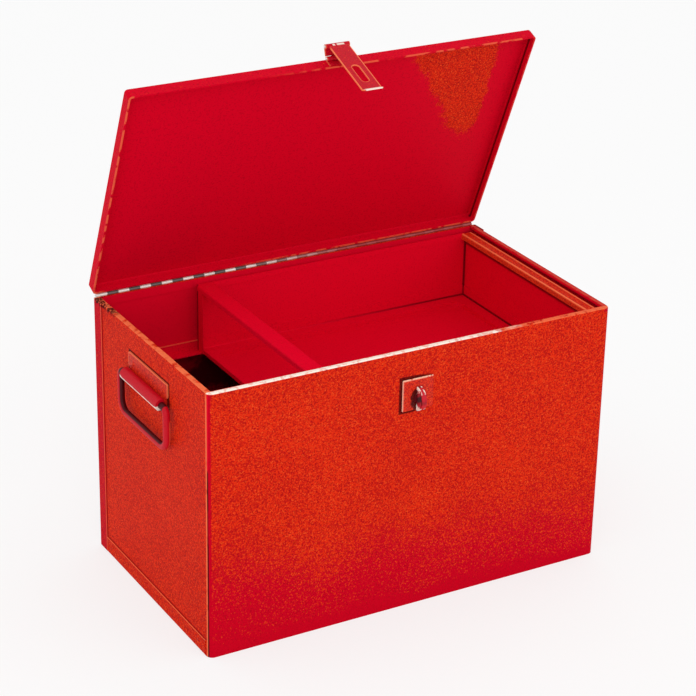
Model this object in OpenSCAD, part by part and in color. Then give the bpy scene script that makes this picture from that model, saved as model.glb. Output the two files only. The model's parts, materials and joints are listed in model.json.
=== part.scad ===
// Sheet-steel tool chest with a flat hinged lid, one sliding tray, a link hasp over a turning
// staple, and a drop handle on each end. Millimetres. The origin is the centre of the base,
// X to the right seen from the front, Y to the back, Z up. The lid is drawn standing open.

/* [Chest body] */
// Overall width, end to end
chest_w = 610; // [480:5:760]
// Overall depth, front to back
chest_d = 345; // [290:5:460]
// Height of the body, up to its rim
chest_h = 380; // [320:5:480]
// Thickness of the body and lid sheet
sheet_t = 1.2; // [0.9:0.1:1.5]
// Outside radius of the upright front corners
corner_r = 9; // [8.5:0.5:14]
// Outside radius of the folded edges
bend_r = 2.5; // [2:0.25:3.5]
// Width of the turned-in rim
rim_w = 8; // [6.5:0.5:8]
// Height of the lip under the rim's inner edge
rim_lip = 4; // [3:0.5:5]
// Width of the seams that lap over the ends
seam_w = 24; // [16:1:32]
// Height of the folded hem inside the top of the back panel
back_hem = 13; // [8:1:18]
// Height of the bottom pan's hidden front and back flanges
pan_flange = 18; // [10:1:25]

/* [Lid] */
// How far the lid stands open, from closed
lid_open = 67; // [0:1:110]
// Height of the lid's skirt
skirt_h = 17; // [15:0.5:24]
// Outside radius of the lid's upright corners
lid_corner_r = 5; // [4:0.5:9]
// Height of the hem folded inside the skirt
lid_hem = 8; // [5:0.5:10]
// Gap left over the rim when the lid is shut
lid_gap = 0.5; // [0.3:0.1:1]

/* [Piano hinge] */
// Radius of the hinge pin
hinge_pin_r = 2; // [1.5:0.1:2.2]
// Thickness of the hinge leaves
leaf_t = 1.4; // [1:0.1:1.6]
// Number of knuckles, an odd number
knuckles = 37; // [25:2:41]
// Distance that each end of the hinge is set in
hinge_inset = 5; // [2:1:20]
// Height of the leaf on the body, from the pin
body_leaf_h = 19; // [14:1:24]
// Height of the leaf on the lid's skirt, from the pin
lid_leaf_h = 14.5; // [12:0.5:14.5]

/* [Hasp] */
// Width of the hasp's fixed leaf and link
hasp_w = 36; // [32:1:50]
// Width of the strap
strap_w = 29; // [26:1:34]
// Thickness of the hasp's plates
hasp_t = 1.6; // [1.4:0.1:2]
// Radius of the hasp's two pins
hasp_pin_r = 1.6; // [1.3:0.1:1.8]
// Length of the centre knuckle on each hasp pin
hasp_knuckle = 18; // [13:1:22]
// Distance between the hasp's two pins
link_len = 16; // [15:0.5:22]
// Distance of the upper pin below the lid's top face
hasp_drop = 4; // [3.5:0.5:5]
// Angle that the link leans out from upright, as it stands folded up
link_tilt = 50; // [44:1:60]
// Angle that the strap leans out from the lid's front
strap_lean = 2; // [2:1:20]
// Length of the flat of the strap, from its pin to the turned-out tip
strap_flat = 98; // [94:1:102]
// Length of the turned-out tip
tip_len = 8; // [6:0.5:11]
// Angle of the turned-out tip
tip_angle = 35; // [20:1:45]
// Length of the strap's slot
slot_len = 36; // [35:0.5:38]
// Width of the strap's slot
slot_w = 11; // [10:0.5:12]
// Distance from the strap's pin to the middle of its slot
slot_at = 66; // [64:0.5:70]

/* [Lock plate and staple] */
// Width of the lock plate
lock_w = 47; // [44:1:60]
// Height of the lock plate
lock_h = 45; // [42:0.5:56]
// Thickness of the lock plate
lock_t = 2.8; // [1.5:0.1:2.9]
// Distance from the rim down to the lock plate
lock_drop = 40; // [36:1:42]
// Radius of the staple's shank
shank_r = 4; // [3:0.25:4.5]
// Height of the staple's head
head_h = 34; // [24:1:35]
// Thickness of the staple's head
head_t = 7; // [4:0.5:8]
// How far the head stands out from its collar
head_out = 15; // [13:0.5:15.5]
// Half the width of the padlock hole
eye_r = 5; // [3:0.25:5]

/* [Handles] */
// Width of the handle plate
plate_w = 119; // [114:1:124]
// Thickness of the handle plate
plate_t = 2; // [1.5:0.1:2.5]
// Wall of the plate's rolled barrel, rolled round twice
barrel_wall = 3.6; // [2:0.1:4]
// Distance from the rim down to the handle plate
plate_drop = 33; // [25:1:60]
// Height of the flat of the handle plate, down to the bail's axis
plate_h = 29; // [24:1:36]
// Length of the plate's rolled barrel
barrel_len = 111; // [100:1:113]
// Radius of the bail's rod
bail_r = 4.75; // [4:0.25:5]
// Width of the bail between its arms' centres
bail_w = 140; // [138:0.5:150]
// Height of the bail between its bars' centres
bail_h = 58; // [50:1:70]
// Bend radius of the bail's upper corners, at the rod's centre
bail_top_r = 9; // [8:0.5:11]
// Bend radius of the bail's lower corners, at the rod's centre
bail_low_r = 17; // [12:1:24]

/* [Tray and rails] */
// Length of the tray
tray_len = 439; // [300:1:445]
// Thickness of the tray's sheet
tray_t = 1; // [0.8:0.1:1.3]
// Distance of the tray's top below the rim
tray_below = 6; // [5.5:0.5:10]
// Distance from the rim down to the rails
rail_drop = 105; // [80:1:130]
// Width of each rail's flat leg
rail_leg = 20; // [15:1:25]
// Height of each rail's upright leg
rail_up = 12.5; // [8:0.5:18]
// Thickness of the rails
rail_t = 1.5; // [1.2:0.1:2]
// Width of the floor left flat beside each long wall
tray_margin = 20; // [15:1:40]
// Depth of the pressed panel in the tray's floor
recess_h = 7; // [4:0.5:10]
// Width of the floor left flat beside each end of the pressed panel
recess_end = 18.5; // [14:0.5:26]
// Width of the bar over the tray's open end
grip_w = 25; // [18:1:32]
// Width of the cap on the tray's closed end
cap_w = 18.5; // [15:0.5:24]
// Depth of the legs of the bar and the cap
channel_h = 8; // [6:0.5:12]
// Width of the posts beside the tray's open end
post_w = 17.5; // [12:0.5:24]
// Height of the lip at the tray's open end
end_lip = 6; // [4:0.5:10]
// Height of the hem along the tray's long walls
tray_hem = 9; // [6:0.5:12]
// Height of the tray floor's turned-up edges
tray_edge = 16; // [14:0.5:24]

/* [Hidden] */
$fn = 48;

// Clearances
run_gap = 0.05;        // between a pin and its bore
side_gap = 0.3;        // between neighbouring knuckles
slide_gap = 0.3;       // between the tray and its rails
leaf_gap = 0.3;        // between a barrel and the sheet that it stands beside
lift_gap = 1;          // between the tray and whatever it is lifted past
cap_gap = 1.8;         // between the tray's cap and the rim
seam_gap = 0.3;        // between the ends of two lapped seams
rivet_gap = 0.05;      // between a rivet and its hole
cut = 1;               // how far a cutting solid runs past the sheet

// Body
front_y = -chest_d / 2;
back_y = chest_d / 2;
end_x = chest_w / 2 - sheet_t;           // outer face of the end walls, under the seams
wall_x = end_x - sheet_t;                // inner face of the end walls
panel_y = back_y - sheet_t;              // inner face of the back panel
wall_y = front_y + sheet_t;              // inner face of the front wall
hem_half = end_x - rim_w - 0.8;          // the back hem stops short of the end rims

// Hinge
knuckle_r = hinge_pin_r + run_gap + 1.45;
axis_y = back_y + leaf_gap + knuckle_r;
axis_z = chest_h + lid_gap / 2;
hinge_len = chest_w - 2 * hinge_inset;
knuckle_pitch = hinge_len / knuckles;
knuckle_room = knuckle_r + 0.4;          // a leaf keeps this far from the other leaf's knuckles

// Lid, shut
lid_z = chest_h + lid_gap;               // lower edge of the skirt
lid_top = lid_z + skirt_h;

// Hasp, on the shut lid
hasp_r = hasp_pin_r + run_gap + 1.55;    // outside radius of its knuckles
upper_y = front_y - leaf_gap - hasp_r;
upper_z = lid_top - hasp_drop;
lower_y = upper_y - link_len * sin(link_tilt);   // the strap's pin, with the link folded up
lower_z = upper_z + link_len * cos(link_tilt);
hasp_leaf_low = lid_z + 2;
hasp_room = hasp_r + 0.4;
hasp_pin_head = 1;                       // how far a pin's head stands out
hasp_rivet_r = 1.5;
hasp_rivet_x = hasp_w / 2 - 6;
hasp_rivet_z = (hasp_leaf_low + lid_z + lid_hem) / 2;

// Lock plate and staple
staple_z = upper_z - link_len - slot_at;
lock_z = chest_h - lock_drop - lock_h / 2;
lock_rivet_r = 1.6;
lock_rivet_x = lock_w / 2 - 6;
lock_rivet_z = lock_h / 2 - 6;
boss_r = 11;
boss_t = 0.4;
collar_r = 6.5;
collar_y = front_y - lock_t - boss_t - leaf_gap;   // back face of the staple's collar
collar_t = 1;
head_y = collar_y - collar_t;                      // where the head begins
washer_r = 9;
washer_t = 1.5;
peen_r = 5.5;
peen_t = 1.6;

// Handles
barrel_r = bail_r + run_gap + barrel_wall;
bail_x = end_x + barrel_r + 0.2;
bail_z = chest_h - plate_drop - plate_h;
handle_rivet_r = 2.2;
handle_rivet_z = chest_h - plate_drop - 13;
handle_rivet_y = plate_w / 2 - 15;

// Tray and rails
rail_top = chest_h - rail_drop;
tray_half = back_y - rim_w - lift_gap;             // outer face of its long walls
tray_low = rail_top + slide_gap;
tray_top = chest_h - tray_below;
cap_x1 = end_x - rim_w - cap_gap;
cap_over = (cap_w - tray_t) / 2 + 1.2;
tray_x1 = cap_x1 - cap_over;
tray_x0 = tray_x1 - tray_len;
recess_half = tray_half - tray_margin;
recess_r = 14;
channel_t = 1.2;
pan_x0 = tray_x0 + channel_t;                      // the bar's leg laps over the pan's open end
tray_rivet_r = 1.8;
tray_rivet_z = tray_top - 5.2;
floor_x0 = pan_x0 + tray_t;                        // the floor's lip stands behind the posts
edge_rivet_x = 27.5;                               // rivets low on each long wall, each side of the middle
edge_rivet_z = tray_low + 10.7;

paint = "orangered";
inside_paint = "crimson";
bare = "silver";

// ---- Sections and small shapes ----

// A sheet seen end on: up from the origin, folded inwards at the top to reach u = w.
module fold_outline(h, w, r) {
    square([w, h - r]);
    translate([r, 0]) square([w - r, h]);
    translate([r, h - r]) circle(r);
}

module fold_section(h, w, r, t) {
    difference() {
        fold_outline(h, w, r);
        translate([t, -cut]) fold_outline(h - t + cut, w, r - t);
    }
}

// An upside-down channel seen end on, w wide and h high.
module channel_outline(w, h, r) {
    square([w, h - r]);
    translate([r, 0]) square([w - 2 * r, h]);
    for (x = [r, w - r]) translate([x, h - r]) circle(r);
}

module channel_section(w, h, r, t) {
    difference() {
        channel_outline(w, h, r);
        translate([t, -cut]) channel_outline(w - 2 * t, h - t + cut, r - t);
    }
}

module round_rect(w, d, r) {
    square([w - 2 * r, d], center = true);
    square([w, d - 2 * r], center = true);
    for (x = [-1, 1], y = [-1, 1]) translate([x * (w / 2 - r), y * (d / 2 - r)]) circle(r);
}

// Carries a section along X, with its u axis on Y; centred on X = 0.
module along_x(len) {
    translate([-len / 2, 0, 0]) rotate([90, 0, 90]) linear_extrude(len) children();
}

// Carries a section along Y from y0 to y1, with its u axis on X.
module along_y(y0, y1) {
    translate([0, y1, 0]) rotate([90, 0, 0]) linear_extrude(y1 - y0) children();
}

// Turns a section round an upright corner of outside radius r, over one quarter.
module round_corner(r, start) {
    rotate([0, 0, start]) rotate_extrude(angle = 90) translate([r, 0]) mirror([1, 0]) children();
}

module rod_x(r, len, x = 0) {
    translate([x, 0, 0]) rotate([0, 90, 0]) cylinder(r = r, h = len, center = true);
}

module rod_y(r, len, y = 0) {
    translate([0, y, 0]) rotate([90, 0, 0]) cylinder(r = r, h = len, center = true);
}

// A rivet along +Z from z = 0 on the outer face, through sheets of thickness grip.
module rivet(r, grip, head) {
    translate([0, 0, -grip]) cylinder(r = r, h = grip);
    rivet_dome(r * 1.9, head);
    translate([0, 0, -grip]) mirror([0, 0, 1]) rivet_dome(r * 1.6, head * 0.8);
}

module rivet_dome(r, h) {
    ball = (r * r + h * h) / (2 * h);
    intersection() {
        translate([0, 0, h - ball]) sphere(ball);
        cylinder(r = r, h = h);
    }
}

// The lid and all that it carries are drawn shut, then turned about the hinge pin.
module as_opened() {
    translate([0, axis_y, axis_z]) rotate([-lid_open, 0, 0]) translate([0, -axis_y, -axis_z]) children();
}

// ---- Body ----

module rim_section(low = sheet_t) {
    h = chest_h - low;
    translate([0, low]) {
        fold_section(h, rim_w, bend_r, sheet_t);
        translate([rim_w - sheet_t, h - rim_lip]) square([sheet_t, rim_lip]);
    }
}

// Front and both ends in one sheet, with the rim turned in.
module front_wrap() {
    color(paint) difference() {
        union() {
            translate([0, front_y, 0]) along_x(2 * (end_x - corner_r)) rim_section();
            for (side = [0, 1]) mirror([side, 0, 0]) {
                translate([-end_x, 0, 0]) along_y(front_y + corner_r, back_y - bend_r) rim_section(bend_r);
                translate([corner_r - end_x, front_y + corner_r, 0]) round_corner(corner_r, 180) rim_section();
            }
        }
        translate([0, front_y, staple_z]) rod_y(shank_r + run_gap, 4 * sheet_t);
        lock_rivet_places() rod_y(lock_rivet_r + rivet_gap, 4 * (lock_t + sheet_t));
        for (side = [-1, 1]) handle_rivet_places(side) cylinder(r = handle_rivet_r + rivet_gap, h = 20, center = true);
    }
}

module back_section() {
    seam_y = back_y - seam_w;
    for (side = [0, 1]) mirror([side, 0]) translate([-chest_w / 2, seam_y])
        fold_section(seam_w, chest_w / 2, bend_r, sheet_t);
}

module back_panel() {
    color(paint) {
        translate([0, 0, sheet_t]) linear_extrude(chest_h - sheet_t) back_section();
        translate([-hem_half, panel_y - sheet_t, chest_h - back_hem]) cube([2 * hem_half, sheet_t, back_hem]);
    }
}

// Flat base, with seams turned up outside the ends and flanges hidden inside front and back.
module bottom_pan() {
    seam_y0 = front_y + corner_r + cut;
    seam_y1 = back_y - seam_w - seam_gap;
    flange_half = end_x - corner_r - cut;
    color(paint) {
        linear_extrude(sheet_t) intersection() {
            translate([0, corner_r]) round_rect(2 * end_x, chest_d + 2 * corner_r, corner_r);
            square([chest_w, chest_d], center = true);
        }
        for (side = [0, 1]) mirror([side, 0, 0]) translate([-chest_w / 2, 0, seam_w])
            mirror([0, 0, 1]) along_y(seam_y0, seam_y1) fold_section(seam_w, corner_r, bend_r, sheet_t);
        for (y = [wall_y, panel_y - sheet_t])
            translate([-flange_half, y, 0]) cube([2 * flange_half, sheet_t, pan_flange]);
    }
}

module rail_section() {
    square([rail_leg, rail_t]);
    square([rail_t, rail_t + rail_up]);
}

module front_rail() {
    color(inside_paint) translate([0, wall_y, rail_top - rail_t]) along_x(2 * (end_x - corner_r)) rail_section();
}

module back_rail() { mirror([0, 1, 0]) front_rail(); }

// ---- Piano hinge ----

// Knuckle i of the hinge as a length along X, centred on its own place.
module at_knuckle(i) {
    translate([-hinge_len / 2 + (i + 0.5) * knuckle_pitch, axis_y, axis_z]) children();
}

// One leaf: the plate, and every second knuckle from number first on.
module hinge_leaf(first, leaf_h) {
    knuckle_len = knuckle_pitch - side_gap;
    difference() {
        union() {
            translate([-hinge_len / 2, back_y, axis_z - leaf_h]) cube([hinge_len, leaf_t, leaf_h - knuckle_room]);
            for (i = [first : 2 : knuckles - 1]) at_knuckle(i) {
                rod_x(knuckle_r, knuckle_len);
                translate([-knuckle_len / 2, back_y - axis_y, -knuckle_room - cut])
                    cube([knuckle_len, leaf_t, knuckle_room + cut]);
            }
        }
        translate([0, axis_y, axis_z]) rod_x(hinge_pin_r + run_gap, hinge_len + 2 * cut);
    }
}

module hinge_body_leaf() { color(bare) hinge_leaf(0, body_leaf_h); }

module hinge_lid_leaf() {
    color(bare) as_opened() translate([0, 0, 2 * axis_z]) mirror([0, 0, 1]) hinge_leaf(1, lid_leaf_h);
}

module hinge_pin() {
    color(bare) translate([0, axis_y, axis_z]) rod_x(hinge_pin_r, hinge_len);
}

// ---- Lid ----

module skirt_section() {
    fold_section(skirt_h, lid_corner_r, bend_r, sheet_t);
    square([2 * sheet_t, lid_hem]);
}

module lid_pan() {
    straight_x = chest_w - 2 * lid_corner_r;
    straight_y = chest_d - 2 * lid_corner_r;
    color(paint) as_opened() difference() {
        translate([0, 0, lid_z]) {
            for (side = [0, 1]) mirror([0, side, 0]) translate([0, front_y, 0]) along_x(straight_x) skirt_section();
            for (side = [0, 1]) mirror([side, 0, 0]) translate([-chest_w / 2, 0, 0])
                along_y(-straight_y / 2, straight_y / 2) skirt_section();
            for (k = [0 : 3]) translate([(k == 0 || k == 3 ? 1 : -1) * straight_x / 2, (k < 2 ? 1 : -1) * straight_y / 2, 0])
                round_corner(lid_corner_r, k * 90) skirt_section();
            translate([-straight_x / 2, -straight_y / 2, skirt_h - sheet_t]) cube([straight_x, straight_y, sheet_t]);
        }
        hasp_rivet_places() rod_y(hasp_rivet_r + rivet_gap, 8 * sheet_t);
    }
}

// ---- Hasp ----

module hasp_rivet_places() {
    for (x = [-1, 1]) translate([x * hasp_rivet_x, front_y - hasp_t, hasp_rivet_z]) children();
}

// Two outer knuckles about the origin, whose tabs run down in the plane y = plane_y to plane_y + hasp_t.
module outer_knuckles(plane_y) {
    knuckle_len = (hasp_w - hasp_knuckle - side_gap) / 2;
    for (side = [-1, 1]) translate([side * (hasp_w - knuckle_len) / 2, 0, 0]) {
        rod_x(hasp_r, knuckle_len);
        translate([-knuckle_len / 2, plane_y, -hasp_room - cut]) cube([knuckle_len, hasp_t, hasp_room + cut]);
    }
}

module centre_knuckle() {
    knuckle_len = hasp_knuckle - side_gap;
    rod_x(hasp_r, knuckle_len);
    translate([-knuckle_len / 2, -hasp_r, -hasp_room - cut]) cube([knuckle_len, hasp_t, hasp_room + cut]);
}

module hasp_bore() { rod_x(hasp_pin_r + run_gap, hasp_w + 2 * cut); }

module hasp_pin() {
    rod_x(hasp_pin_r, hasp_w + 0.4);
    for (side = [0, 1]) mirror([side, 0, 0]) translate([hasp_w / 2 + 0.2, 0, 0]) rotate([0, 90, 0])
        rivet_dome(hasp_pin_r + 0.6, hasp_pin_head);
}

module hasp_leaf() {
    color(paint) as_opened() difference() {
        union() {
            translate([0, upper_y, upper_z]) outer_knuckles(front_y - hasp_t - upper_y);
            translate([-hasp_w / 2, front_y - hasp_t, hasp_leaf_low])
                cube([hasp_w, hasp_t, upper_z - hasp_room - hasp_leaf_low]);
        }
        translate([0, upper_y, upper_z]) hasp_bore();
        hasp_rivet_places() rod_y(hasp_rivet_r + rivet_gap, 8 * hasp_t);
    }
}

module hasp_leaf_rivets() {
    color(paint) as_opened() hasp_rivet_places() rotate([90, 0, 0]) rivet(hasp_rivet_r, hasp_t + 2 * sheet_t, 0.7);
}

module hasp_leaf_pin() { color(bare) as_opened() translate([0, upper_y, upper_z]) hasp_pin(); }

// The link hangs down from the origin in its own frame, with the strap's pin at z = -link_len.
module at_link() {
    as_opened() translate([0, upper_y, upper_z]) rotate([link_tilt - 180, 0, 0]) children();
}

module hasp_link() {
    color(paint) at_link() difference() {
        union() {
            centre_knuckle();
            translate([0, 0, -link_len]) mirror([0, 0, 1]) outer_knuckles(-hasp_r);
            translate([-hasp_w / 2, -hasp_r, hasp_room - link_len]) cube([hasp_w, hasp_t, link_len - 2 * hasp_room]);
        }
        hasp_bore();
        translate([0, 0, -link_len]) hasp_bore();
    }
}

module hasp_link_pin() { color(bare) at_link() translate([0, 0, -link_len]) hasp_pin(); }

// The strap seen edge on, as (Y, Z): a flat from its pin down, then the tip turned out.
module strap_profile() {
    half = hasp_t / 2;
    mitre = half * tan(tip_angle / 2);
    mid = half - hasp_r;
    down = [-sin(tip_angle), -cos(tip_angle)] * tip_len;
    across = [cos(tip_angle), -sin(tip_angle)] * half;
    bend = [mid, -strap_flat];
    polygon([
        [mid + half, -hasp_room], [mid + half, -strap_flat - mitre], bend + down + across,
        bend + down - across, [mid - half, -strap_flat + mitre], [mid - half, -hasp_room]
    ]);
}

module hasp_strap() {
    color(paint) as_opened() translate([0, lower_y, lower_z]) rotate([-strap_lean, 0, 0]) difference() {
        union() {
            centre_knuckle();
            translate([-strap_w / 2, 0, 0]) rotate([90, 0, 90]) linear_extrude(strap_w) strap_profile();
        }
        hasp_bore();
        translate([0, 0, -slot_at]) rotate([90, 0, 0]) linear_extrude(4 * hasp_r, center = true)
            round_rect(slot_w, slot_len, slot_w / 2 - 0.5);
        translate([0, hasp_t / 2 - hasp_r, -strap_flat]) rotate([-tip_angle, 0, 0]) tip_corners();
    }
}

// What is cut from the tip to round its two corners.
module tip_corners() {
    r = 4;
    for (side = [0, 1]) mirror([side, 0, 0]) rotate([90, 0, 0]) linear_extrude(4 * hasp_t, center = true)
        translate([strap_w / 2 - r, r - tip_len]) difference() {
            translate([0, -r - cut]) square(r + cut);
            circle(r);
        }
}

// ---- Lock plate and staple ----

module lock_rivet_places() {
    for (x = [-1, 1], z = [-1, 1])
        translate([x * lock_rivet_x, front_y - lock_t, lock_z + z * lock_rivet_z]) children();
}

module lock_plate() {
    step = 0.7;
    color(paint) difference() {
        union() {
            translate([0, front_y, lock_z]) rotate([90, 0, 0]) {
                linear_extrude(lock_t - step) round_rect(lock_w, lock_h, 2);
                linear_extrude(lock_t) round_rect(lock_w - 3, lock_h - 3, 1.2);
            }
            translate([0, front_y, staple_z]) rotate([90, 0, 0]) cylinder(r = boss_r, h = lock_t + boss_t);
        }
        translate([0, front_y, staple_z]) rod_y(shank_r + run_gap, 4 * lock_t);
        lock_rivet_places() rod_y(lock_rivet_r + rivet_gap, 4 * lock_t);
    }
}

module lock_plate_rivets() {
    color(paint) lock_rivet_places() rotate([90, 0, 0]) rivet(lock_rivet_r, lock_t + sheet_t, 0.9);
}

// The head is a D-shaped loop that stands in the YZ plane, on a round collar.
module swivel_staple() {
    washer_y = wall_y + 0.2;
    shank_end = washer_y + washer_t;
    loop_r = head_h / 2;
    eye_drop = 12.5;                     // how much shorter the eye is than the head
    color(paint) translate([0, 0, staple_z]) {
        translate([-head_t / 2, head_y, 0]) rotate([90, 0, 90]) linear_extrude(head_t) difference() {
            union() {
                translate([loop_r - head_out, 0]) circle(loop_r);
                translate([loop_r - head_out, -loop_r]) square([loop_r, head_h]);
            }
            translate([0, -head_h]) square([head_h, 2 * head_h]);
            translate([-head_out / 2 - 0.3, 0]) round_rect(2 * eye_r, head_h - eye_drop, eye_r - 0.01);
        }
        translate([0, head_y, 0]) rotate([-90, 0, 0]) {
            cylinder(r = collar_r, h = collar_t);
            cylinder(r = shank_r, h = shank_end - head_y);
            translate([0, 0, shank_end - head_y]) rivet_dome(peen_r, peen_t);
        }
    }
}

module staple_washer() {
    color(bare) translate([0, wall_y + 0.2, staple_z]) rotate([-90, 0, 0]) difference() {
        cylinder(r = washer_r, h = washer_t);
        translate([0, 0, -cut]) cylinder(r = shank_r + rivet_gap, h = washer_t + 2 * cut);
    }
}

// ---- Handles, drawn on the right end ----

module at_end(side) { mirror([side < 0 ? 1 : 0, 0, 0]) children(); }

module handle_rivet_places(side) {
    at_end(side) for (y = [-1, 1])
        translate([end_x + plate_t, y * handle_rivet_y, handle_rivet_z]) rotate([0, 90, 0]) children();
}

module handle_plate(side) {
    color(paint) difference() {
        at_end(side) {
            translate([end_x, 0, 0]) rotate([90, 0, 90]) linear_extrude(plate_t)
                translate([0, bail_z + plate_h / 2 + barrel_r / 2])
                    round_rect(plate_w, plate_h - barrel_r, 3);
            translate([end_x, -barrel_len / 2, bail_z]) cube([plate_t, barrel_len, barrel_r + 4]);
            translate([bail_x, 0, bail_z]) rod_y(barrel_r, barrel_len);
        }
        at_end(side) translate([bail_x, 0, bail_z]) rod_y(bail_r + run_gap, barrel_len + 2 * cut);
        handle_rivet_places(side) cylinder(r = handle_rivet_r + rivet_gap, h = 20, center = true);
    }
}

module handle_rivets(side) {
    color(paint) handle_rivet_places(side) rivet(handle_rivet_r, plate_t + sheet_t, 1.3);
}

// One quarter of a ring of rod, from +X to +Y about the origin.
module rod_bend(r) {
    rotate_extrude(angle = 90) translate([r, 0]) circle(bail_r);
}

// A bent rod whose two ends meet inside the barrel, with a gap between them.
module bail(side) {
    half = bail_w / 2;
    end_y = barrel_len / 2 - 22;
    color(paint) at_end(side) translate([bail_x, 0, bail_z]) {
        for (flip = [0, 1]) mirror([0, flip, 0]) {
            rod_y(bail_r, half - bail_top_r - end_y, (half - bail_top_r + end_y) / 2);
            translate([0, half - bail_top_r, -bail_top_r]) rotate([90, 0, 90]) rod_bend(bail_top_r);
            translate([0, half, bail_low_r - bail_h]) cylinder(r = bail_r, h = bail_h - bail_low_r - bail_top_r);
            translate([0, half - bail_low_r, bail_low_r - bail_h]) rotate([0, 90, 0]) rod_bend(bail_low_r);
        }
        translate([0, 0, -bail_h]) rod_y(bail_r, bail_w - 2 * bail_low_r);
    }
}

module left_handle_plate() { handle_plate(-1); }
module right_handle_plate() { handle_plate(1); }
module left_handle_rivets() { handle_rivets(-1); }
module right_handle_rivets() { handle_rivets(1); }
module left_bail() { bail(-1); }
module right_bail() { bail(1); }

// ---- Tray ----

module tray_rivet_places() {
    for (side = [0, 1]) mirror([0, side, 0]) for (x = [-1, 1])
        translate([tray_x0 + grip_w / 2 + x * (grip_w / 2 - 7), tray_half, tray_rivet_z])
            rotate([-90, 0, 0]) children();
}

// Rivets through a long wall and the floor's turned-up edge.
module edge_rivet_places() {
    for (side = [0, 1]) mirror([0, side, 0]) for (x = [-1, 1])
        translate([x * edge_rivet_x, tray_half, edge_rivet_z]) rotate([-90, 0, 0]) children();
}

// The floor: a pressed panel inside a flat margin, a lip at the open end, and the other edges turned up.
module tray_floor() {
    half = tray_half - tray_t;
    len = tray_x1 - tray_t - floor_x0;
    recess_len = len - 2 * recess_end;
    mid_x = floor_x0 + len / 2;
    color(inside_paint) difference() {
        union() {
            translate([floor_x0, 0, tray_low + tray_edge]) mirror([0, 0, 1]) rotate([90, 0, 90]) linear_extrude(len)
                translate([-half, 0]) channel_section(2 * half, tray_edge, bend_r, tray_t);
            translate([floor_x0, bend_r - half, tray_low]) cube([tray_t, 2 * (half - bend_r), end_lip]);
            translate([floor_x0 + len - tray_t, bend_r - half, tray_low])
                cube([tray_t, 2 * (half - bend_r), tray_edge]);
            translate([mid_x, 0, tray_low - recess_h]) linear_extrude(recess_h + tray_t)
                round_rect(recess_len, 2 * recess_half, recess_r);
        }
        translate([mid_x, 0, tray_low - recess_h + tray_t]) linear_extrude(recess_h + cut)
            round_rect(recess_len - 2 * tray_t, 2 * (recess_half - tray_t), recess_r - tray_t);
        edge_rivet_places() cylinder(r = tray_rivet_r + rivet_gap, h = 10 * tray_t, center = true);
    }
}

// A long wall with its top folded in, and its left end turned in as a post.
module tray_back_wall() {
    color(inside_paint) difference() {
        union() {
            translate([pan_x0, tray_half - tray_t, tray_low]) cube([tray_x1 - tray_t - pan_x0, tray_t, tray_top - tray_low]);
            translate([pan_x0, tray_half - 2 * tray_t, tray_top - tray_hem])
                cube([tray_x1 - tray_t - pan_x0, tray_t, tray_hem]);
            translate([pan_x0, tray_half - post_w, tray_low]) cube([tray_t, post_w, tray_top - bend_r - tray_low]);
        }
        tray_rivet_places() cylinder(r = tray_rivet_r + rivet_gap, h = 10 * tray_t, center = true);
        edge_rivet_places() cylinder(r = tray_rivet_r + rivet_gap, h = 10 * tray_t, center = true);
    }
}

module tray_front_wall() { mirror([0, 1, 0]) tray_back_wall(); }

module tray_end_wall() {
    color(inside_paint) translate([tray_x1 - tray_t, -tray_half, tray_low])
        cube([tray_t, 2 * tray_half, tray_top - channel_t - tray_low]);
}

// The bar over the open end, with a tab down each end that is riveted through the wall.
module tray_grip_bar() {
    half = tray_half - 2 * tray_t;
    color(inside_paint) difference() {
        union() {
            translate([tray_x0, 0, tray_top - channel_h]) along_y(-half, half)
                channel_section(grip_w, channel_h, bend_r, channel_t);
            for (side = [0, 1]) mirror([0, side, 0])
                translate([pan_x0 + tray_t + 0.2, half - channel_t, tray_top - tray_hem])
                    cube([grip_w - 2 * channel_t - tray_t - 0.2, channel_t, tray_hem - channel_t / 2]);
        }
        tray_rivet_places() cylinder(r = tray_rivet_r + rivet_gap, h = 12 * tray_t, center = true);
    }
}

module tray_end_cap() {
    half = tray_half - 2 * tray_t;
    color(inside_paint) translate([cap_x1 - cap_w, 0, tray_top - channel_h]) along_y(-half, half)
        channel_section(cap_w, channel_h, bend_r, channel_t);
}

module tray_rivets() {
    color(inside_paint) {
        tray_rivet_places() rivet(tray_rivet_r, 2 * tray_t + channel_t, 0.6);
        edge_rivet_places() rivet(tray_rivet_r, 2 * tray_t, 0.6);
    }
}

front_wrap();
back_panel();
bottom_pan();
back_rail();
front_rail();
hinge_body_leaf();
hinge_pin();
lock_plate();
lock_plate_rivets();
left_handle_plate();
right_handle_plate();
left_handle_rivets();
right_handle_rivets();
lid_pan();
hinge_lid_leaf();
hasp_leaf();
hasp_leaf_rivets();
hasp_leaf_pin();
hasp_link();
hasp_link_pin();
hasp_strap();
swivel_staple();
staple_washer();
left_bail();
right_bail();
tray_floor();
tray_back_wall();
tray_front_wall();
tray_end_wall();
tray_grip_bar();
tray_end_cap();
tray_rivets();
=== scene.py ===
# %% [markdown]
# # A steel tool chest, dressed for a product picture
#
# The solid parts of this chest come ready made from a CAD program: sheet-steel panels, hinge, hasp, handles and
# tray. This lesson gives them what a solid model lacks, which is paint, plating, weld marks, scuffs, painted
# highlights and shade, and light. Every length is in metres, with the origin at the centre of the base, X to the
# right, Y to the back and Z up.

# %% Open the packed model
import json
import math

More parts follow.
